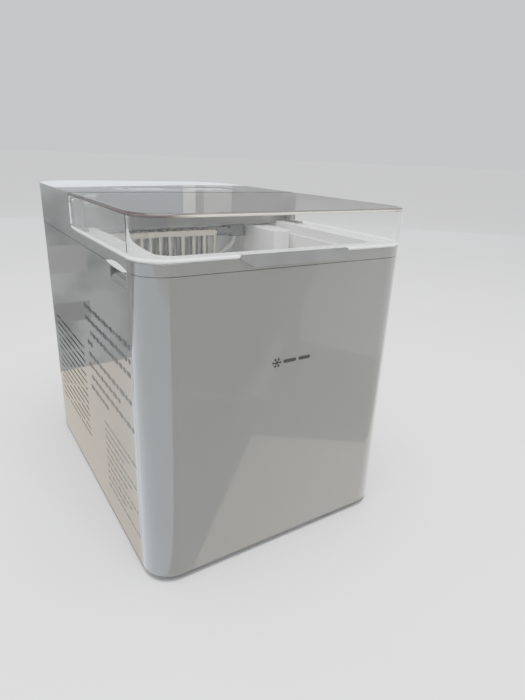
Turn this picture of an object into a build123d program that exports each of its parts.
"""Countertop ice maker: a shell of plastic panels round a white ice tank, under a clear lid.

Millimetres, +Z up, front towards -Y. The origin is on the resting surface, under the middle of
the object. The front half holds the tank with its lift-out basket. The rear half holds the
evaporator and its tipping water tray above, and the fan, condenser and compressor below.
"""
from build123d import *
import math
import os

os.makedirs("parts", exist_ok=True)

# ---- outer size -----------------------------------------------------------------------------
WIDTH = 242.0
DEPTH = 358.0
BODY_HEIGHT = 291.0
FOOT_HEIGHT = 4.0
FRONT_CORNER = 24.5
REAR_CORNER = 57.0
WALL = 2.5
PROUD = 2.0              # grip tab in front and wall spacers behind stand this far out
LIP_PROUD = 0.5          # the finger lips on both sides stand this far out

SIDE = WIDTH / 2
FRONT = -DEPTH / 2
REAR = DEPTH / 2
BASE = FOOT_HEIGHT
TOP = BASE + BODY_HEIGHT

# ---- levels and splits of the shell ---------------------------------------------------------
PANEL_FOOT = BASE + 2.0
SEAM = BASE + 251.0      # joint between the panels and the band
BAND_TOP = BASE + 258.3  # ledge inside the band, under the tank's flange
RIM_TOP = BASE + 259.7
RIM_INSET = 1.4
FLANGE_TOP = BASE + 260.0
LID_FOOT = FLANGE_TOP + 1.0
GAP = 0.4
RIDGE_Y = FRONT + FRONT_CORNER
LID_REAR = FRONT + 176.0
DECK_FRONT = LID_REAR + 1.0
REAR_PANEL_HALF = SIDE - REAR_CORNER - 0.6

# ---- lid hinge ------------------------------------------------------------------------------
HINGE_Y = LID_REAR - 7.0
HINGE_Z = TOP - 7.0
PIN_R = 2.0
FIT = 0.05
BRACKET_IN = 110.0
BRACKET_OUT = 116.5

# ---- tank -----------------------------------------------------------------------------------
TANK_HALF = 96.5
TANK_FRONT = FRONT + 25.5
TANK_REAR_LOW = -30.0
TANK_REAR_HIGH = 48.0
TANK_FLOOR = 92.0
SHELF = 172.0            # floor of the rear chamber, under the evaporator
TANK_WALL = 2.0

# ---- ice mechanism --------------------------------------------------------------------------
FINGERS = 9
PITCH = 12.0
FINGER_X0 = -80.0
FINGER_Y = 9.0
FINGER_R = 4.0
FINGER_TIP = 212.0
TUBE_Z = 260.2
TUBE_R = 2.6
COVER_LOW = FLANGE_TOP + 0.3
SHOVEL_Y = -2.0
SHOVEL_Z = 254.8
BAR_FOOT = 228.0
TRAY_PIVOT_Y = 26.0
TRAY_PIVOT_Z = 222.0

# ---- cooling --------------------------------------------------------------------------------
FAN_Y = 45.0
FAN_Z = 104.0
FAN_R = 49.0
FAN_HALF = 57.0          # half of the square shroud
SHROUD_OUT = -114.8
SHROUD_IN = -90.0
COMPRESSOR_X = 35.0
COMPRESSOR_Y = 108.0
COMPRESSOR_R = 50.0
PIPE_R = 3.0

# ---- controls -------------------------------------------------------------------------------
FASCIA_Y0 = 22.0
FASCIA_Y1 = 68.0
FASCIA_HALF = 66.0
FASCIA_TOP = TOP - 1.2
BUTTON_Y = 45.0
BUTTON_R = 8.0

# ---- feet, grips, grilles, openings ---------------------------------------------------------
FEET = [(-92, -138), (92, -138), (-84, 128), (84, 128)]
COMPRESSOR_FEET = [(COMPRESSOR_X + 58 * math.cos(math.radians(a)),
                    COMPRESSOR_Y + 58 * math.sin(math.radians(a))) for a in (80, 200, 320)]
GRIP_Y0 = FRONT + 27.0
GRIP_Y1 = FRONT + 63.0
GRIP_LOW = SEAM - 12.0
GRIP_DEEP = 10.0
LIP_Y0 = FRONT + 25.4
LIP_Y1 = FRONT + 71.0
LIP_RISE = 2.6
LIP_ROUND = 3.6          # radius of the lips' bulge
GRILLE_ROWS = 14
GRILLE_PITCH = 7.45
GRILLE_TOP = BASE + 148.6
GRILLE_Y0 = -10.0
GRILLE_Y1 = 112.0
SLOT_HEIGHT = 2.1
RIB_WIDTH = 3.6          # of the slanted ribs that cross the rows, along a row
RIB_STEP = 52.0
RIB_SLOPE = 0.385        # rise of a rib towards the front
INLET_X = -30.0
INLET_Z = 40.0
INLET_HALF = 7.0
REAR_SCREWS = [(x, z) for x in (-58, 58) for z in (22, 130, 244)]

# ---- lid tab --------------------------------------------------------------------------------
TAB_LEFT = -49.0
TAB_RIGHT = 49.5
TAB_TOP = BASE + 262.6
TAB_LOW = SEAM + 2.2

# ---- places on the tank ---------------------------------------------------------------------
PUMP_X, PUMP_Y = 50.0, -110.0
FLOAT_X, FLOAT_Y = -50.0, -110.0
DRAIN_TAP_X = 80.0
DRAIN_Y = -70.0
DRAIN_Z = 30.0
DRAIN_HOLE_R = 11.0
SENSOR_Y = -96.0
SENSOR_Z = 240.0
BASKET_LOW = 130.0
BASKET_TOP = 232.0
BASKET_HALF = 91.0
BASKET_FRONT = TANK_FRONT + 6.0
BASKET_REAR = -46.0

# ---- ice mechanism's drive and motor --------------------------------------------------------
SHOVEL_LEFT = FINGER_X0 - PITCH / 2 - 2
SHOVEL_RIGHT = FINGER_X0 + PITCH * (FINGERS - 0.5) + 1.4
DRIVE_X0 = 39.5
DRIVE_X1 = 58.0
DRIVE_LOW = 250.5
MOTOR_X0 = 71.0
MOTOR_X1 = 92.0
MOTOR_FRONT = FRONT + 137.0
MOTOR_TOP = BASE + 256.0

# ---- condenser and control strip ------------------------------------------------------------
CONDENSER_X0 = -74.0
CONDENSER_X1 = -48.0
BUTTON_X = 40.0
BUTTON_TRAVEL = 1.0
BOARD_POSTS = [(x, y) for x in (-52, 52) for y in (FASCIA_Y0 + 8, FASCIA_Y0 + 26)]


# ---- drawing aids ---------------------------------------------------------------------------
def block(x0, x1, y0, y1, z0, z1, mode=Mode.ADD):
    """A box between its limits."""
    with Locations(((x0 + x1) / 2, (y0 + y1) / 2, (z0 + z1) / 2)):
        Box(x1 - x0, y1 - y0, z1 - z0, mode=mode)


def rod(start, direction, radius, length, mode=Mode.ADD):
    """A round bar from a start point along a direction."""
    with BuildSketch(Plane(origin=start, z_dir=direction)) as section:
        Circle(radius)
    extrude(section.sketch, amount=length, mode=mode)


def ring(start, direction, outer, inner, length, mode=Mode.ADD):
    """A tube from a start point along a direction."""
    with BuildSketch(Plane(origin=start, z_dir=direction)) as section:
        Circle(outer)
        Circle(inner, mode=Mode.SUBTRACT)
    extrude(section.sketch, amount=length, mode=mode)


def slab(inset, z0, z1, mode=Mode.ADD, back=REAR):
    """The plan outline of the machine, drawn in by an inset, between two heights, up to a back line."""
    with BuildSketch(Plane.XY.offset(z0)) as plan:
        Rectangle(WIDTH - 2 * inset, DEPTH - 2 * inset)
        fillet(plan.vertices().sort_by(Axis.Y)[:2], FRONT_CORNER - inset)
        fillet(plan.vertices().sort_by(Axis.Y)[-2:], REAR_CORNER - inset)
        if back < REAR:
            with Locations((0, (back + REAR) / 2)):
                Rectangle(WIDTH, REAR - back, mode=Mode.SUBTRACT)
    extrude(plan.sketch, amount=z1 - z0, mode=mode)


def tub(x_half, y0, y1, z0, z1, corner, mode=Mode.ADD):
    """A block with rounded upright corners, centred on X."""
    with BuildSketch(Plane.XY.offset(z0)) as plan:
        with Locations((0, (y0 + y1) / 2)):
            RectangleRounded(2 * x_half, y1 - y0, corner)
    extrude(plan.sketch, amount=z1 - z0, mode=mode)


def pipe(points, radii, radius):
    """A solid round pipe along straight runs joined by tangent arcs."""
    with BuildLine() as route:
        FilletPolyline(*points, radius=radii)
    start = Plane(origin=route.line @ 0, z_dir=route.line % 0)
    with BuildSketch(start) as section:
        Circle(radius)
    sweep(section.sketch, path=route.line)


def save(builder, name):
    """Labels a finished piece and writes it."""
    builder.part.label = name
    export_step(builder.part, f"parts/{name}.step")


# ---- shell ----------------------------------------------------------------------------------
def make_base_pan():
    with BuildPart() as pan:
        slab(0, BASE, PANEL_FOOT - 0.3)
        slab(WALL + 0.4, BASE, BASE + 12)
        slab(WALL + 2.4, PANEL_FOOT - 0.3, BASE + 12, Mode.SUBTRACT)
        with Locations((0, 60, BASE)):
            with GridLocations(22, 7, 7, 9):
                Box(14, 3, 10, mode=Mode.SUBTRACT)
        for x, y in FEET:
            rod((x, y, BASE - 1), (0, 0, 1), 4.2, 20, Mode.SUBTRACT)
        for x, y in COMPRESSOR_FEET:
            rod((x, y, BASE + 1.5), (0, 0, 1), 7, 3.5)
    save(pan, "base_pan")


def make_feet():
    with BuildPart() as feet:
        for x, y in FEET:
            rod((x, y, 0), (0, 0, 1), 12, BASE)
            rod((x, y, BASE), (0, 0, 1), 4, 6)
        fillet(feet.faces().sort_by(Axis.Z)[:4].edges(), 1.0)
    save(feet, "rubber_feet")


def grip_wedge(side, spare, mode):
    """The hand hole: deepest under the band, running out to the wall further down."""
    outer = side * (SIDE + 1)
    deep = side * (SIDE - GRIP_DEEP - spare)
    inner = side * (SIDE - GRIP_DEEP + 3 - spare)
    with BuildSketch(Plane(origin=(0, GRIP_Y0 - spare, 0), x_dir=(1, 0, 0), z_dir=(0, 1, 0))) as cut:
        with BuildLine():
            # the plane's own y runs down, so heights are entered as negatives
            Polyline((outer, -(SEAM + 1)), (deep, -(SEAM + 1)), (deep, -(SEAM - 7 - spare)),
                     (inner, -(SEAM - 9 - spare)), (side * (SIDE - WALL), -(GRIP_LOW - spare)),
                     (outer, -(GRIP_LOW - spare)), close=True)
        make_face()
    extrude(cut.sketch, amount=GRIP_Y1 - GRIP_Y0 + 2 * spare, mode=mode)


def grip_lens(spare, x0, x1, mode):
    """The lens-shaped prism of the finger lip, centred on the seam, between two places across."""
    middle = (LIP_Y0 + LIP_Y1) / 2
    half = (LIP_Y1 - LIP_Y0) / 2 + spare
    rise = LIP_RISE + spare
    with BuildSketch(Plane(origin=(x0, 0, 0), x_dir=(0, 1, 0), z_dir=(1, 0, 0))) as lens:
        with BuildLine():
            ThreePointArc((middle - half, SEAM), (middle, SEAM + rise), (middle + half, SEAM))
            ThreePointArc((middle + half, SEAM), (middle, SEAM - rise), (middle - half, SEAM))
        make_face()
    extrude(lens.sketch, amount=x1 - x0, mode=mode)


def make_front_panel():
    with BuildPart() as panel:
        slab(0, PANEL_FOOT, SEAM - GAP)
        slab(WALL, PANEL_FOOT, SEAM - GAP, Mode.SUBTRACT)
        block(-SIDE, SIDE, RIDGE_Y - 0.3, REAR, 0, TOP, Mode.SUBTRACT)
        # stiffening ribs behind the front face, clear of the tank's foam
        for x in (-60, 0, 60):
            block(x - 1, x + 1, FRONT + WALL, FRONT + WALL + 4, PANEL_FOOT + 10, SEAM - 12)
    save(panel, "front_panel")


def grille_slots(side):
    """Rows of narrow slots, crossed by slanted ribs that rise towards the front."""
    with BuildSketch(Plane(origin=(side * SIDE, 0, 0), x_dir=(0, side, 0), z_dir=(side, 0, 0))) as cut:
        for row in range(GRILLE_ROWS):
            start = GRILLE_Y0 - RIB_STEP + (row * GRILLE_PITCH / RIB_SLOPE) % RIB_STEP
            while start < GRILLE_Y1:
                y0 = max(start, GRILLE_Y0)
                y1 = min(start + RIB_STEP - RIB_WIDTH, GRILLE_Y1)
                if y1 - y0 > 2 * SLOT_HEIGHT:
                    with Locations((side * (y0 + y1) / 2, GRILLE_TOP - GRILLE_PITCH * row)):
                        SlotOverall(y1 - y0, SLOT_HEIGHT)
                start += RIB_STEP
    extrude(cut.sketch, amount=-WALL, mode=Mode.SUBTRACT)


def grille_blades(side):
    """Slanted louvre blades behind the slots, from each slot's lower edge inwards and up."""
    with BuildSketch(Plane(origin=(0, GRILLE_Y0, 0), x_dir=(1, 0, 0), z_dir=(0, 1, 0))) as blades:
        inside = side * (SIDE - WALL)
        for row in range(GRILLE_ROWS):
            low = GRILLE_TOP - GRILLE_PITCH * row - SLOT_HEIGHT / 2
            with BuildLine():
                # the plane's own y runs down, so heights are entered as negatives
                Polyline((inside + side * 0.3, -(low - 1.4)), (inside + side * 0.3, -(low - 0.1)),
                         (inside - side * 3.2, -(low + 3.2)), (inside - side * 3.2, -(low + 1.9)), close=True)
            make_face()
    extrude(blades.sketch, amount=GRILLE_Y1 - GRILLE_Y0)


def make_side_panel(side, name):
    with BuildPart() as panel:
        slab(0, PANEL_FOOT, SEAM - GAP)
        slab(WALL, PANEL_FOOT, SEAM - GAP, Mode.SUBTRACT)
        block(-SIDE, SIDE, FRONT, RIDGE_Y + 0.3, 0, TOP, Mode.SUBTRACT)
        x0, x1 = sorted((side * REAR_PANEL_HALF + side * 0.6, -side * SIDE))
        block(x0, x1, FRONT, REAR, 0, TOP, Mode.SUBTRACT)
        grille_slots(side)
        grille_blades(side)
        grip_wedge(side, 0.3, Mode.SUBTRACT)
        grip_lens(0.2, *sorted((side * (SIDE - WALL - 1), side * (SIDE + 1))), Mode.SUBTRACT)
        if side > 0:
            rod((SIDE - 10, DRAIN_Y, DRAIN_Z), (1, 0, 0), DRAIN_HOLE_R, 20, Mode.SUBTRACT)
    save(panel, name)


def make_grip_cup(side, name):
    """The scooped liner behind the hand hole, closed above by a plate under the band."""
    with BuildPart() as cup:
        grip_wedge(side, 2.2, Mode.ADD)
        grip_wedge(side, 0.0, Mode.SUBTRACT)
        slab(WALL + 0.3, 0, SEAM - GAP, Mode.INTERSECT)
        x0, x1 = sorted((side * (SIDE - GRIP_DEEP - 1), side * (SIDE - WALL - 0.3)))
        block(x0, x1, GRIP_Y0 - 1, GRIP_Y1 + 1, SEAM - 1.6, SEAM - GAP)
    save(cup, name)


def make_grip_lips():
    """The two smooth lips that the fingers pull on, bulging a little out of the side walls."""
    with BuildPart() as lips:
        for side in (-1, 1):
            heart = (side * (SIDE + LIP_PROUD - LIP_ROUND), LIP_Y0 - 1, SEAM)
            rod(heart, (0, 1, 0), LIP_ROUND, LIP_Y1 - LIP_Y0 + 2)
        grip_lens(0.0, -SIDE - 1, SIDE + 1, Mode.INTERSECT)
        block(-SIDE + WALL, SIDE - WALL, LIP_Y0, LIP_Y1, SEAM - 5, SEAM + 5, Mode.SUBTRACT)
    save(lips, "grip_lips")


def make_rear_panel():
    with BuildPart() as panel:
        block(-REAR_PANEL_HALF, REAR_PANEL_HALF, REAR - WALL, REAR, PANEL_FOOT, SEAM - GAP)
        for x in (-48, 48):
            block(x - 2.5, x + 2.5, REAR, REAR + PROUD, PANEL_FOOT + 20, SEAM - 20)
        with BuildSketch(Plane(origin=(0, REAR, 0), x_dir=(-1, 0, 0), z_dir=(0, 1, 0))) as cut:
            with Locations((0, 165)):
                with GridLocations(27, 9, 3, 11):
                    SlotOverall(22, 4)
            # seen from behind, the drawing's x runs the other way
            with Locations((-INLET_X, INLET_Z)):
                Rectangle(2 * INLET_HALF, 2 * INLET_HALF)
        extrude(cut.sketch, amount=-3 * WALL, mode=Mode.SUBTRACT)
        for x, z in REAR_SCREWS:
            rod((x, REAR - 3 * WALL, z), (0, 1, 0), 1.7, 20, Mode.SUBTRACT)
    save(panel, "rear_panel")


def make_power_inlet():
    """The square inlet low on the rear wall where the mains supply enters."""
    with BuildPart() as inlet:
        half = INLET_HALF - 0.2
        block(INLET_X - half, INLET_X + half, REAR - 8, REAR, INLET_Z - half, INLET_Z + half)
        block(INLET_X - 10, INLET_X + 10, REAR - 6, REAR - WALL - 0.1, INLET_Z - 10, INLET_Z + 10)
        rod((INLET_X, REAR, INLET_Z), (0, 1, 0), 5.5, PROUD - 0.4)
        rod((INLET_X, REAR - 10, INLET_Z), (0, 1, 0), 3.4, 20, Mode.SUBTRACT)
    save(inlet, "power_inlet")


def make_screws():
    with BuildPart() as screws:
        for x, z in REAR_SCREWS:
            rod((x, REAR - 8, z), (0, 1, 0), 1.5, 8.2)
            rod((x, REAR, z), (0, 1, 0), 3.4, 1.4)
            block(x - 2.2, x + 2.2, REAR + 0.8, REAR + 2, z - 0.4, z + 0.4, Mode.SUBTRACT)
            block(x - 0.4, x + 0.4, REAR + 0.8, REAR + 2, z - 2.2, z + 2.2, Mode.SUBTRACT)
    save(screws, "panel_screws")


def make_top_housing():
    """The band round the tank's mouth and the raised housing behind the lid, in one moulding."""
    with BuildPart() as housing:
        slab(0, SEAM, RIM_TOP)
        slab(0, RIM_TOP, TOP)
        block(-SIDE, SIDE, FRONT, DECK_FRONT, RIM_TOP, TOP, Mode.SUBTRACT)
        band_top = housing.faces().filter_by(Plane.XY).filter_by(lambda f: abs(f.center().Z - RIM_TOP) < 0.01)
        fillet(band_top.edges().filter_by(lambda e: e.center().Y < DECK_FRONT - 1), 0.8)
        slab(RIM_INSET, BAND_TOP, RIM_TOP, Mode.SUBTRACT, LID_REAR + 0.2)
        slab(WALL, SEAM, BAND_TOP, Mode.SUBTRACT)
        with BuildSketch(Plane.XY.offset(BAND_TOP)) as room:
            Rectangle(WIDTH - 2 * WALL, DEPTH - 2 * WALL)
            fillet(room.vertices().sort_by(Axis.Y)[-2:], REAR_CORNER - WALL)
            with Locations((0, FRONT / 2 + DECK_FRONT / 2 + WALL)):
                Rectangle(WIDTH, DECK_FRONT - FRONT, mode=Mode.SUBTRACT)
        extrude(room.sketch, amount=TOP - WALL - BAND_TOP, mode=Mode.SUBTRACT)
        block(-FASCIA_HALF, FASCIA_HALF, FASCIA_Y0, FASCIA_Y1, FASCIA_TOP, TOP, Mode.SUBTRACT)
        block(-FASCIA_HALF + 4, FASCIA_HALF - 4, FASCIA_Y0 + 4, FASCIA_Y1 - 4, 280, TOP, Mode.SUBTRACT)
        top_edges = housing.faces().filter_by(Plane.XY).group_by(Axis.Z)[-1].edges()
        rim = top_edges.filter_by(lambda e: e.center().Y > FASCIA_Y1 + 2 or abs(e.center().X) > SIDE - 1)
        fillet(rim, 1.2)
        for side in (-1, 1):
            grip_lens(0.2, *sorted((side * (SIDE - WALL - 1), side * (SIDE + 1))), Mode.SUBTRACT)
    save(housing, "top_housing")


# ---- lid ------------------------------------------------------------------------------------
def make_lid():
    """The clear canopy: a top sheet with front and side walls, and a rail along its rear edge."""
    with BuildPart() as lid:
        slab(0, LID_FOOT, TOP)
        block(-SIDE, SIDE, LID_REAR, REAR, 0, TOP + 1, Mode.SUBTRACT)
        crown = lid.faces().sort_by(Axis.Z)[-1].edges()
        fillet([edge for edge in crown if edge.center().Y < LID_REAR - 1], 1.6)
        slab(WALL, LID_FOOT, TOP - WALL, Mode.SUBTRACT)
        block(-SIDE + WALL, SIDE - WALL, HINGE_Y - 30, LID_REAR + 1, LID_FOOT, TOP - WALL, Mode.SUBTRACT)
        with BuildSketch(Plane(origin=(-SIDE, 0, 0), z_dir=(1, 0, 0), x_dir=(0, 1, 0))) as heel:
            with Locations((HINGE_Y + 3.5, HINGE_Z + 3.5)):
                Rectangle(7, 7)
            with Locations((HINGE_Y, HINGE_Z)):
                Circle(7, mode=Mode.SUBTRACT)
        extrude(heel.sketch, amount=WIDTH, mode=Mode.SUBTRACT)
        # the walls' lower rear corners are rounded, so that they clear the flange as the lid swings
        heels = lid.edges().filter_by(Axis.X).filter_by(
            lambda e: e.center().Z < LID_FOOT + 0.1 and e.center().Y > LID_REAR - 0.1)
        fillet(heels, 3.0)
        rail = BRACKET_IN - 0.6
        rod((-rail, HINGE_Y, HINGE_Z), (1, 0, 0), 4.6, 2 * rail)
        for side in (-1, 1):
            rod((side * (rail + 1), HINGE_Y, HINGE_Z), (-side, 0, 0), PIN_R + FIT, 12, Mode.SUBTRACT)
    save(lid, "lid")


def make_lid_tab():
    """The finger tab on the lid's front edge, hanging over the band, with one sloped lower corner."""
    with BuildPart() as tab:
        with BuildSketch(Plane(origin=(0, FRONT - 0.4, 0), x_dir=(1, 0, 0), z_dir=(0, -1, 0))) as face:
            with BuildLine():
                Polyline((TAB_LEFT, TAB_TOP), (TAB_RIGHT, TAB_TOP), (TAB_RIGHT, TAB_LOW),
                         (TAB_LEFT + 11, TAB_LOW), (TAB_LEFT, TAB_TOP - 3), close=True)
            make_face()
            fillet(face.vertices().sort_by(Axis.X)[-2:], 2.6)
            fillet(face.vertices().sort_by(Axis.X)[:1], 0.8)
        extrude(face.sketch, amount=PROUD - 0.4)
        fillet(tab.faces().sort_by(Axis.Y)[0].edges(), 0.7)
        block(TAB_LEFT + 2, TAB_RIGHT - 2, FRONT - 0.4, FRONT, LID_FOOT, TAB_TOP - 0.3)
    save(tab, "lid_grip_tab")


def make_hinge_bracket(side, name):
    """A post on the tank's flange that holds one hinge pin."""
    with BuildPart() as bracket:
        x0, x1 = sorted((side * BRACKET_IN, side * BRACKET_OUT))
        block(x0, x1, HINGE_Y - 18, HINGE_Y + 4, FLANGE_TOP, FLANGE_TOP + 2.5)
        block(x0, x1, HINGE_Y - 4, HINGE_Y + 4, FLANGE_TOP, HINGE_Z)
        rod((side * BRACKET_IN, HINGE_Y, HINGE_Z), (side, 0, 0), 4, BRACKET_OUT - BRACKET_IN)
        rod((side * (BRACKET_IN - 1), HINGE_Y, HINGE_Z), (side, 0, 0), PIN_R + FIT, 20, Mode.SUBTRACT)
    save(bracket, name)


def make_hinge_pins():
    with BuildPart() as pins:
        for side in (-1, 1):
            rod((side * 99.5, HINGE_Y, HINGE_Z), (side, 0, 0), PIN_R, 18.0)
    save(pins, "hinge_pins")


# ---- tank and basket ------------------------------------------------------------------------
def make_inner_tank():
    """White liner: a deep well in front, a shallow chamber behind, and a flange over the band."""
    with BuildPart() as tank:
        slab(RIM_INSET + 0.1, BAND_TOP, FLANGE_TOP, Mode.ADD, LID_REAR)
        outer = TANK_HALF + TANK_WALL
        tub(outer + 2, TANK_FRONT - 4, TANK_REAR_HIGH + TANK_WALL, SHELF - TANK_WALL, BAND_TOP, 16)
        tub(outer, TANK_FRONT - 2, TANK_REAR_LOW + TANK_WALL, TANK_FLOOR - TANK_WALL, SHELF, 16)
        tub(TANK_HALF + 2, TANK_FRONT - 2, TANK_REAR_HIGH, SEAM, TOP, 14, Mode.SUBTRACT)
        tub(TANK_HALF, TANK_FRONT, TANK_REAR_HIGH, SHELF, SEAM, 14, Mode.SUBTRACT)
        tub(TANK_HALF, TANK_FRONT, TANK_REAR_LOW, TANK_FLOOR, SHELF, 14, Mode.SUBTRACT)
        for x in (-82, 82):
            for y in (TANK_FRONT + 14, TANK_REAR_LOW - 22):
                rod((x, y, TANK_FLOOR - 0.5), (0, 0, 1), 5, BASKET_LOW - TANK_FLOOR + 0.5)
        rod((PUMP_X, PUMP_Y, TANK_FLOOR - 5), (0, 0, 1), 5.2, 10, Mode.SUBTRACT)
        rod((DRAIN_TAP_X, DRAIN_Y, TANK_FLOOR - 5), (0, 0, 1), 4.2, 10, Mode.SUBTRACT)
        for side in (-1, 1):
            rod((side * (TANK_HALF - 3), SENSOR_Y, SENSOR_Z), (side, 0, 0), 3.2, 12, Mode.SUBTRACT)
            rod((side * (TANK_HALF - 3), SHOVEL_Y, SHOVEL_Z), (side, 0, 0), 2.05, 4.5, Mode.SUBTRACT)
            rod((side * (TANK_HALF - 3), TRAY_PIVOT_Y, TRAY_PIVOT_Z), (side, 0, 0), 3.05, 4.5, Mode.SUBTRACT)
    save(tank, "inner_tank")


def make_insulation():
    """Foam jacket round the tank, open at the top."""
    with BuildPart() as foam:
        outer = TANK_HALF + TANK_WALL
        tub(outer + 11, TANK_FRONT - 14, TANK_REAR_LOW + 9, TANK_FLOOR - 10, 228, 20)
        tub(outer + 11, TANK_FRONT - 14, TANK_REAR_HIGH + 10, SHELF - 10, 228, 20)
        shelf_foot = SHELF - TANK_WALL - 0.3
        tub(outer + 2.3, TANK_FRONT - 4.3, TANK_REAR_HIGH + 2.3, shelf_foot, 230, 16, Mode.SUBTRACT)
        tub(outer + 0.3, TANK_FRONT - 2.3, TANK_REAR_LOW + 2.3, TANK_FLOOR - TANK_WALL - 0.3, SHELF, 16,
            Mode.SUBTRACT)
        rod((PUMP_X, PUMP_Y, TANK_FLOOR - 20), (0, 0, 1), 9, 20, Mode.SUBTRACT)
        rod((DRAIN_TAP_X, DRAIN_Y, TANK_FLOOR - 20), (0, 0, 1), 9, 20, Mode.SUBTRACT)
    save(foam, "tank_insulation")


def make_basket():
    """Lift-out ice basket with drain slots, resting on the tank's four posts."""
    with BuildPart() as basket:
        tub(BASKET_HALF, BASKET_FRONT, BASKET_REAR, BASKET_LOW, BASKET_TOP, 7)
        room_half, room_front, room_rear = BASKET_HALF - 2, BASKET_FRONT + 2, BASKET_REAR - 2
        tub(room_half, room_front, room_rear, BASKET_LOW + 2, BASKET_TOP + 1, 5, Mode.SUBTRACT)
        middle = (BASKET_FRONT + BASKET_REAR) / 2
        with Locations((0, middle, BASKET_LOW)):
            with GridLocations(24, 38, 6, 2):
                Box(8, 22, 10, mode=Mode.SUBTRACT)
    save(basket, "ice_basket")


def make_strainer():
    with BuildPart() as strainer:
        rod((PUMP_X, PUMP_Y, TANK_FLOOR), (0, 0, 1), 9, 1.6)
        rod((PUMP_X, PUMP_Y, TANK_FLOOR - 1.8), (0, 0, 1), 5.1, 2)
        with Locations((PUMP_X, PUMP_Y, TANK_FLOOR)):
            with PolarLocations(6.5, 12):
                Cylinder(1.0, 8, mode=Mode.SUBTRACT)
            with PolarLocations(3.2, 6):
                Cylinder(1.0, 8, mode=Mode.SUBTRACT)
    save(strainer, "tank_strainer")


def make_float():
    with BuildPart() as stem:
        rod((FLOAT_X, FLOAT_Y, TANK_FLOOR), (0, 0, 1), 7, 2)
        rod((FLOAT_X, FLOAT_Y, TANK_FLOOR), (0, 0, 1), 2.5, 31)
        rod((FLOAT_X, FLOAT_Y, TANK_FLOOR + 30), (0, 0, 1), 4.5, 2)
    save(stem, "float_stem")
    with BuildPart() as ball:
        ring((FLOAT_X, FLOAT_Y, TANK_FLOOR + 3), (0, 0, 1), 10, 3.0, 12)
        fillet(ball.edges().filter_by(GeomType.CIRCLE).filter_by(lambda e: e.radius > 9), 3)
    save(ball, "water_float")


def make_sensors():
    with BuildPart() as sensors:
        for side in (-1, 1):
            rod((side * (TANK_HALF - 1.5), SENSOR_Y, SENSOR_Z), (side, 0, 0), 3, 9)
            rod((side * (TANK_HALF + 4.6), SENSOR_Y, SENSOR_Z), (side, 0, 0), 5, 4)
    save(sensors, "ice_level_sensors")


# ---- ice mechanism --------------------------------------------------------------------------
def finger_x(index):
    return FINGER_X0 + PITCH * index


def make_evaporator():
    """A cold tube with a row of hanging fingers, on which the ice grows."""
    with BuildPart() as cold:
        left = FINGER_X0 - 10
        right = DRIVE_X0 + 1.5
        rod((left, FINGER_Y, TUBE_Z), (1, 0, 0), TUBE_R, right - left)
        with Locations((right, FINGER_Y, TUBE_Z)):
            Sphere(TUBE_R)
        for index in range(FINGERS):
            foot = (finger_x(index), FINGER_Y, FINGER_TIP + FINGER_R)
            rod(foot, (0, 0, 1), FINGER_R, TUBE_Z - 3 - foot[2])
            rod(foot, (0, 0, 1), TUBE_R - 0.4, TUBE_Z - foot[2])
            with Locations(foot):
                Sphere(FINGER_R)
        for x in (-70, 4):
            rod((x, FINGER_Y, TUBE_Z), (0, 0, 1), 2, COVER_LOW - TUBE_Z)
    save(cold, "evaporator")


def make_evaporator_cover():
    """The insulated cover of the rear chamber, from which the evaporator hangs."""
    with BuildPart() as cover:
        block(-104, 104, DECK_FRONT + WALL + 0.4, TANK_REAR_HIGH + 6, COVER_LOW, COVER_LOW + 6.7)
    save(cover, "evaporator_cover")


def make_shovel():
    """The comb that swings back between the fingers and forward again to push the ice out."""
    with BuildPart() as comb:
        with BuildSketch(Plane(origin=(0, SHOVEL_Y + 2, 0), x_dir=(1, 0, 0), z_dir=(0, -1, 0))) as shape:
            with Locations(((SHOVEL_LEFT + SHOVEL_RIGHT) / 2, SHOVEL_Z)):
                RectangleRounded(SHOVEL_RIGHT - SHOVEL_LEFT, 5, 2)
        extrude(shape.sketch, amount=4)
        for index in range(FINGERS + 1):
            x = finger_x(index) - PITCH / 2
            block(x - 1.4, x + 1.4, SHOVEL_Y - 1.5, SHOVEL_Y + 1.0, BAR_FOOT, SHOVEL_Z)
        block(SHOVEL_LEFT, SHOVEL_LEFT + 3, SHOVEL_Y - 1.5, SHOVEL_Y + 1.0, BAR_FOOT, SHOVEL_Z)
        rod((-TANK_HALF - 1.2, SHOVEL_Y, SHOVEL_Z), (1, 0, 0), 2, SHOVEL_LEFT + TANK_HALF + 2)
        rod((SHOVEL_RIGHT - 1, SHOVEL_Y, SHOVEL_Z), (1, 0, 0), 2, DRIVE_X0 - SHOVEL_RIGHT + 9)
    save(comb, "ice_shovel")


def make_shovel_drive():
    """The grey housing beside the evaporator that turns the shovel, with its bearing sleeve."""
    with BuildPart() as drive:
        block(DRIVE_X0, DRIVE_X1, SHOVEL_Y - 4, SHOVEL_Y + 7, DRIVE_LOW, BAND_TOP - 0.4)
        fillet(drive.edges().filter_by(Axis.Z), 1.5)
        block(DRIVE_X1 - 4.5, DRIVE_X1 - 2.5, SHOVEL_Y - 5, SHOVEL_Y - 2, DRIVE_LOW + 1.5, 260, Mode.SUBTRACT)
        rod((SHOVEL_RIGHT + 1, SHOVEL_Y, SHOVEL_Z), (1, 0, 0), 3.6, DRIVE_X0 - SHOVEL_RIGHT)
        rod((SHOVEL_RIGHT, SHOVEL_Y, SHOVEL_Z), (1, 0, 0), 2.05, DRIVE_X0 - SHOVEL_RIGHT + 10, Mode.SUBTRACT)
        block(DRIVE_X0, DRIVE_X1, DECK_FRONT + WALL + 0.4, SHOVEL_Y + 7, 261, COVER_LOW)
    save(drive, "shovel_drive")


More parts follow.
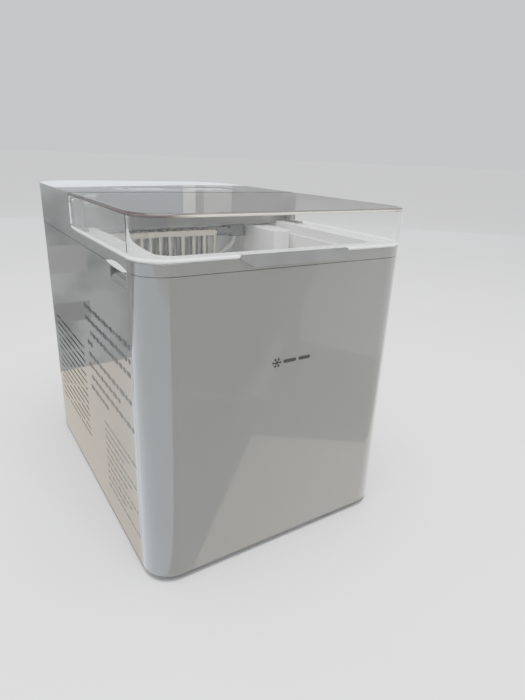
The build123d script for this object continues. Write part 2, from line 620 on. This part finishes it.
def make_tray():
    """The water tray that the fingers dip in; it tips about its rear edge to drop the water."""
    x0 = FINGER_X0 - 12
    x1 = FINGER_X0 + PITCH * (FINGERS - 1) + 12
    y0 = TRAY_PIVOT_Y - 32
    with BuildPart() as tray:
        block(x0, x1, y0, TRAY_PIVOT_Y, 202, TRAY_PIVOT_Z)
        fillet(tray.edges().filter_by(Axis.X).group_by(Axis.Z)[0], 6)
        block(x0 + 2, x1 - 2, y0 + 2, TRAY_PIVOT_Y - 2, 208, TRAY_PIVOT_Z + 1, Mode.SUBTRACT)
        block(x0 + 2, x1 - 2, y0 + 7, TRAY_PIVOT_Y - 7, 204, 210, Mode.SUBTRACT)
        rod((-TANK_HALF - 1.2, TRAY_PIVOT_Y, TRAY_PIVOT_Z), (1, 0, 0), 3, x0 + TANK_HALF + 3)
        rod((x1 - 2, TRAY_PIVOT_Y, TRAY_PIVOT_Z), (1, 0, 0), 3, MOTOR_X0 - x1 + 8)
        block(x0, x1, TRAY_PIVOT_Y - 3, TRAY_PIVOT_Y + 3, TRAY_PIVOT_Z - 3, TRAY_PIVOT_Z - 0.5)
    save(tray, "water_tray")


def make_motor_housing():
    """White box on the chamber's right side that keeps the tray motor dry."""
    with BuildPart() as box:
        block(MOTOR_X0, MOTOR_X1, MOTOR_FRONT, TANK_REAR_HIGH - 8, 196, MOTOR_TOP)
        fillet(box.edges().filter_by(Axis.Z).group_by(Axis.Y)[0], 5)
        fillet(box.faces().sort_by(Axis.Z)[-1].edges(), 1.5)
        room_rear = TANK_REAR_HIGH - 10
        block(MOTOR_X0 + 2, MOTOR_X1 - 2, MOTOR_FRONT + 2, room_rear, 190, MOTOR_TOP - 2, Mode.SUBTRACT)
        rod((MOTOR_X0 - 5, TRAY_PIVOT_Y, TRAY_PIVOT_Z), (1, 0, 0), 3.05, 10, Mode.SUBTRACT)
    save(box, "motor_housing")
    with BuildPart() as motor:
        rod((MOTOR_X0 + 7.5, TRAY_PIVOT_Y - 14, TRAY_PIVOT_Z), (1, 0, 0), 14, 9)
        rod((MOTOR_X0 + 2.2, TRAY_PIVOT_Y, TRAY_PIVOT_Z), (1, 0, 0), 5, 12)
        rod((MOTOR_X0 + 2.0, TRAY_PIVOT_Y, TRAY_PIVOT_Z), (1, 0, 0), 3.05, 5, Mode.SUBTRACT)
        block(MOTOR_X0 + 7.5, MOTOR_X1 - 2, TRAY_PIVOT_Y - 30, TRAY_PIVOT_Y - 20,
              TRAY_PIVOT_Z - 6, TRAY_PIVOT_Z + 6)
    save(motor, "tray_motor")


def make_fill_hose():
    """Thin white hose that fills the tray."""
    with BuildPart() as hose:
        pipe([(47.5, SHOVEL_Y + 3, DRIVE_LOW - 0.2), (47.5, SHOVEL_Y + 3, 244), (36, FINGER_Y, 231),
              (26.5, FINGER_Y + 2, 226)], [8, 9], 1.8)
    save(hose, "fill_hose")


# ---- water circuit --------------------------------------------------------------------------
def make_pump():
    with BuildPart() as pump:
        rod((PUMP_X, PUMP_Y, 40), (0, 0, 1), 17, 30)
        rod((PUMP_X, PUMP_Y, 69), (0, 0, 1), 5, 8)
        block(PUMP_X - 20, PUMP_X + 20, PUMP_Y - 8, PUMP_Y + 8, 38, 41)
        for x in (PUMP_X - 18, PUMP_X + 18):
            rod((x, PUMP_Y, PANEL_FOOT - 0.3), (0, 0, 1), 2.5, 33)
        rod((PUMP_X, PUMP_Y + 16, 50), (0, 1, 0), 4, 10)
    save(pump, "water_pump")


def make_hoses():
    with BuildPart() as suction:
        ring((PUMP_X, PUMP_Y, 77.1), (0, 0, 1), 5, 3.5, TANK_FLOOR - TANK_WALL - 77.3)
    save(suction, "pump_inlet_hose")
    with BuildPart() as riser:
        pipe([(PUMP_X, PUMP_Y + 26.2, 50), (PUMP_X, -50, 50), (100, -10, 50), (100, 66, 50),
              (100, 66, 267.4), (100, TANK_REAR_HIGH + 6.2, 267.4)], [20, 20, 16, 7], 3.5)
    save(riser, "tray_supply_hose")
    with BuildPart() as drain:
        pipe([(DRAIN_TAP_X, DRAIN_Y, TANK_FLOOR - TANK_WALL - 0.2), (DRAIN_TAP_X, DRAIN_Y, 30),
              (98, DRAIN_Y, 30)], [9], 4)
    save(drain, "drain_hose")


def make_drain():
    with BuildPart() as socket:
        ring((98.2, DRAIN_Y, DRAIN_Z), (1, 0, 0), 8.5, 6.0, SIDE - WALL - 98.4)
        ring((SIDE - WALL - 2.2, DRAIN_Y, DRAIN_Z), (1, 0, 0), 14, 6.0, 2)
        rod((98.2, DRAIN_Y, DRAIN_Z), (1, 0, 0), 7, 2)
        rod((97, DRAIN_Y, DRAIN_Z), (1, 0, 0), 2, 5, Mode.SUBTRACT)
    save(socket, "drain_socket")
    with BuildPart() as cap:
        rod((102, DRAIN_Y, DRAIN_Z), (1, 0, 0), 5.95, 18)
        rod((SIDE - WALL + 0.1, DRAIN_Y, DRAIN_Z), (1, 0, 0), DRAIN_HOLE_R - 0.6, WALL - 0.3)
        block(SIDE - 1.4, SIDE, DRAIN_Y - 7, DRAIN_Y - 5, DRAIN_Z - 8, DRAIN_Z + 8, Mode.SUBTRACT)
        block(SIDE - 1.4, SIDE, DRAIN_Y + 5, DRAIN_Y + 7, DRAIN_Z - 8, DRAIN_Z + 8, Mode.SUBTRACT)
    save(cap, "drain_cap")


# ---- cooling circuit ------------------------------------------------------------------------
def make_compressor():
    with BuildPart() as pot:
        rod((COMPRESSOR_X, COMPRESSOR_Y, 22), (0, 0, 1), COMPRESSOR_R, 110)
        fillet(pot.edges().filter_by(GeomType.CIRCLE).group_by(Axis.Z)[-1], 30)
        fillet(pot.edges().filter_by(GeomType.CIRCLE).group_by(Axis.Z)[0], 10)
        ring((COMPRESSOR_X, COMPRESSOR_Y, 74), (0, 0, 1), COMPRESSOR_R + 2, COMPRESSOR_R - 2, 4)
        with BuildSketch(Plane.XY.offset(20)) as plate:
            with Locations((COMPRESSOR_X, COMPRESSOR_Y)):
                Circle(50)
            for x, y in COMPRESSOR_FEET:
                with Locations((x, y)):
                    Circle(9)
            for x, y in COMPRESSOR_FEET:
                with Locations((x, y)):
                    Circle(4.2, mode=Mode.SUBTRACT)
        extrude(plate.sketch, amount=3)
    save(pot, "compressor")


def make_grommets():
    with BuildPart() as grommets:
        for x, y in COMPRESSOR_FEET:
            rod((x, y, BASE + 5.1), (0, 0, 1), 8, 20 - BASE - 5.2)
            rod((x, y, 19), (0, 0, 1), 4, 6)
            rod((x, y, 23.2), (0, 0, 1), 6.5, 3)
    save(grommets, "compressor_grommets")


def make_condenser():
    """A stack of thin fins on crossing tubes."""
    with BuildPart() as fins:
        for z in (60, 80, 100, 120, 140):
            rod(((CONDENSER_X0 + CONDENSER_X1) / 2, -12, z), (0, 1, 0), 4, 114)
        count = 22
        for index in range(count):
            y = -8 + index * (106 / (count - 1))
            block(CONDENSER_X0, CONDENSER_X1, y - 0.5, y + 0.5, 50, 154)
        for y in (-10, 100):
            block(CONDENSER_X0 - 1, CONDENSER_X1 + 1, y - 1, y + 1, PANEL_FOOT - 0.3, 156)
    save(fins, "condenser")


def make_fan():
    with BuildPart() as shroud:
        outer, inner = FAN_HALF, FAN_HALF - 2
        block(SHROUD_OUT, SHROUD_IN, FAN_Y - outer, FAN_Y + outer, PANEL_FOOT - 0.3, FAN_Z + outer)
        block(SHROUD_OUT - 1, SHROUD_IN - 2, FAN_Y - inner, FAN_Y + inner, 20, FAN_Z + inner, Mode.SUBTRACT)
        rod((SHROUD_IN - 24, FAN_Y, FAN_Z), (1, 0, 0), FAN_R + 4, 24)
        rod((-130, FAN_Y, FAN_Z), (1, 0, 0), FAN_R + 2, 60, Mode.SUBTRACT)
        ring((-92.5, FAN_Y, FAN_Z), (1, 0, 0), 20, 17.4, 2.5)
        for angle in (45, 135, 225, 315):
            with BuildSketch(Plane(origin=(-92.2, FAN_Y, FAN_Z), z_dir=(1, 0, 0))) as strut:
                with Locations(Rotation(0, 0, angle)):
                    with Locations((FAN_R / 2 + 10.5, 0)):
                        Rectangle(FAN_R - 16, 4)
            extrude(strut.sketch, amount=2.0)
    save(shroud, "fan_shroud")
    with BuildPart() as motor:
        rod((-94, FAN_Y, FAN_Z), (1, 0, 0), 17.3, 16)
        rod((-101, FAN_Y, FAN_Z), (1, 0, 0), 1.5, 8)
        fillet(motor.edges().filter_by(GeomType.CIRCLE).group_by(Axis.X)[-1], 2)
    save(motor, "fan_motor")
    with BuildPart() as blade:
        rod((-110, FAN_Y, FAN_Z), (1, 0, 0), 13, 14)
        rod((-106, FAN_Y, FAN_Z), (1, 0, 0), 1.55, 14, Mode.SUBTRACT)
        for index in range(7):
            angle = 360 / 7 * index
            spoke = (0, math.cos(math.radians(angle)), math.sin(math.radians(angle)))
            start = (-103, FAN_Y + 11 * spoke[1], FAN_Z + 11 * spoke[2])
            slant = (math.cos(math.radians(40)),
                     -math.sin(math.radians(40)) * spoke[2],
                     math.sin(math.radians(40)) * spoke[1])
            with BuildSketch(Plane(origin=start, x_dir=slant, z_dir=spoke)) as root:
                Rectangle(13, 1.6)
            extrude(root.sketch, amount=FAN_R - 12)
    save(blade, "fan_blade")


def make_refrigerant_parts():
    with BuildPart() as drier:
        rod((-30, 60, 40), (0, 0, 1), 9, 60)
        fillet(drier.edges().filter_by(GeomType.CIRCLE), 6)
    save(drier, "filter_drier")
    with BuildPart() as valve:
        block(-44, -20, 118, 138, 60, 84)
        rod((-32, 128, 84), (0, 0, 1), 8, 18)
        rod((-32, 128, 44), (0, 0, 1), 4, 16)
    save(valve, "hot_gas_valve")


def make_pipes():
    with BuildPart() as discharge:
        pipe([(COMPRESSOR_X - COMPRESSOR_R - 0.8, COMPRESSOR_Y, 60), (-61, 119, 60), (-61, 102.2, 60)],
             [8], PIPE_R)
    save(discharge, "discharge_pipe")
    with BuildPart() as liquid:
        pipe([(-61, 102.3, 140), (-61, 112, 140), (-30, 112, 140), (-30, 60, 140), (-30, 60, 100.2)],
             [4.5, 8, 12], PIPE_R)
    save(liquid, "liquid_pipe")
    with BuildPart() as suction:
        pipe([(COMPRESSOR_X + 10, COMPRESSOR_Y - 10, 132.2), (COMPRESSOR_X + 10, COMPRESSOR_Y - 10, 230),
              (COMPRESSOR_X + 10, 72, 266), (COMPRESSOR_X + 10, TANK_REAR_HIGH + 6.2, 266)], [20, 12], PIPE_R)
    save(suction, "suction_pipe")


# ---- controls -------------------------------------------------------------------------------
def make_controls():
    with BuildPart() as fascia:
        for margin, low, high in ((0.3, FASCIA_TOP, FASCIA_TOP + 0.8), (4.3, FASCIA_TOP - 2, FASCIA_TOP)):
            half = FASCIA_HALF - margin
            block(-half, half, FASCIA_Y0 + margin, FASCIA_Y1 - margin, low, high)
        for x in (-BUTTON_X, BUTTON_X):
            rod((x, BUTTON_Y, FASCIA_TOP - 5), (0, 0, 1), BUTTON_R + 0.4, 10, Mode.SUBTRACT)
        block(-15, 15, BUTTON_Y - 9, BUTTON_Y + 9, FASCIA_TOP - 5, TOP, Mode.SUBTRACT)
    save(fascia, "control_fascia")
    with BuildPart() as lens:
        block(-14.7, 14.7, BUTTON_Y - 8.7, BUTTON_Y + 8.7, FASCIA_TOP - 2, FASCIA_TOP + 0.8)
    save(lens, "display_lens")
    for side, name in ((-1, "power_button"), (1, "select_button")):
        with BuildPart() as button:
            rod((side * BUTTON_X, BUTTON_Y, FASCIA_TOP - 2), (0, 0, 1), BUTTON_R, 3.2)
            fillet(button.edges().filter_by(GeomType.CIRCLE).group_by(Axis.Z)[-1], 0.8)
            rod((side * BUTTON_X, BUTTON_Y, FASCIA_TOP - 3.6), (0, 0, 1), BUTTON_R + 1.8, 1.2)
            rod((side * BUTTON_X, BUTTON_Y, FASCIA_TOP - 3), (0, 0, 1), BUTTON_R, 1.2)
            rod((side * BUTTON_X, BUTTON_Y, FASCIA_TOP - 7), (0, 0, 1), 2, 4)
        save(button, name)
    with BuildPart() as board:
        block(-58, 58, FASCIA_Y0 + 2, FASCIA_Y1 - 2, 277, 278.6)
        for x in (-BUTTON_X, BUTTON_X):
            block(x - 3, x + 3, BUTTON_Y - 3, BUTTON_Y + 3, 278.6, 282)
            rod((x, BUTTON_Y, 282), (0, 0, 1), 1.6, FASCIA_TOP - 7 - BUTTON_TRAVEL - 0.2 - 282)
        block(-13, 13, BUTTON_Y - 7, BUTTON_Y + 7, 278.6, FASCIA_TOP - 2.3)
        for x, y in BOARD_POSTS:
            rod((x, y, 271.1), (0, 0, 1), 2.5, 6)
    save(board, "control_board")


def make_power_module():
    with BuildPart() as module:
        block(-56, 4, 160, 176.3, 180, 240)
        for x in (-44, -24):
            block(x - 7, x + 7, 148, 160, 196, 224)
    save(module, "power_module")


def main():
    make_base_pan()
    make_feet()
    make_front_panel()
    make_side_panel(-1, "left_side_panel")
    make_side_panel(1, "right_side_panel")
    make_grip_cup(-1, "left_grip_cup")
    make_grip_cup(1, "right_grip_cup")
    make_grip_lips()
    make_rear_panel()
    make_power_inlet()
    make_screws()
    make_top_housing()
    make_lid()
    make_lid_tab()
    make_hinge_bracket(-1, "left_hinge_bracket")
    make_hinge_bracket(1, "right_hinge_bracket")
    make_hinge_pins()
    make_inner_tank()
    make_insulation()
    make_basket()
    make_strainer()
    make_float()
    make_sensors()
    make_evaporator()
    make_evaporator_cover()
    make_shovel()
    make_shovel_drive()
    make_tray()
    make_motor_housing()
    make_fill_hose()
    make_pump()
    make_hoses()
    make_drain()
    make_compressor()
    make_grommets()
    make_condenser()
    make_fan()
    make_refrigerant_parts()
    make_pipes()
    make_controls()
    make_power_module()


main()
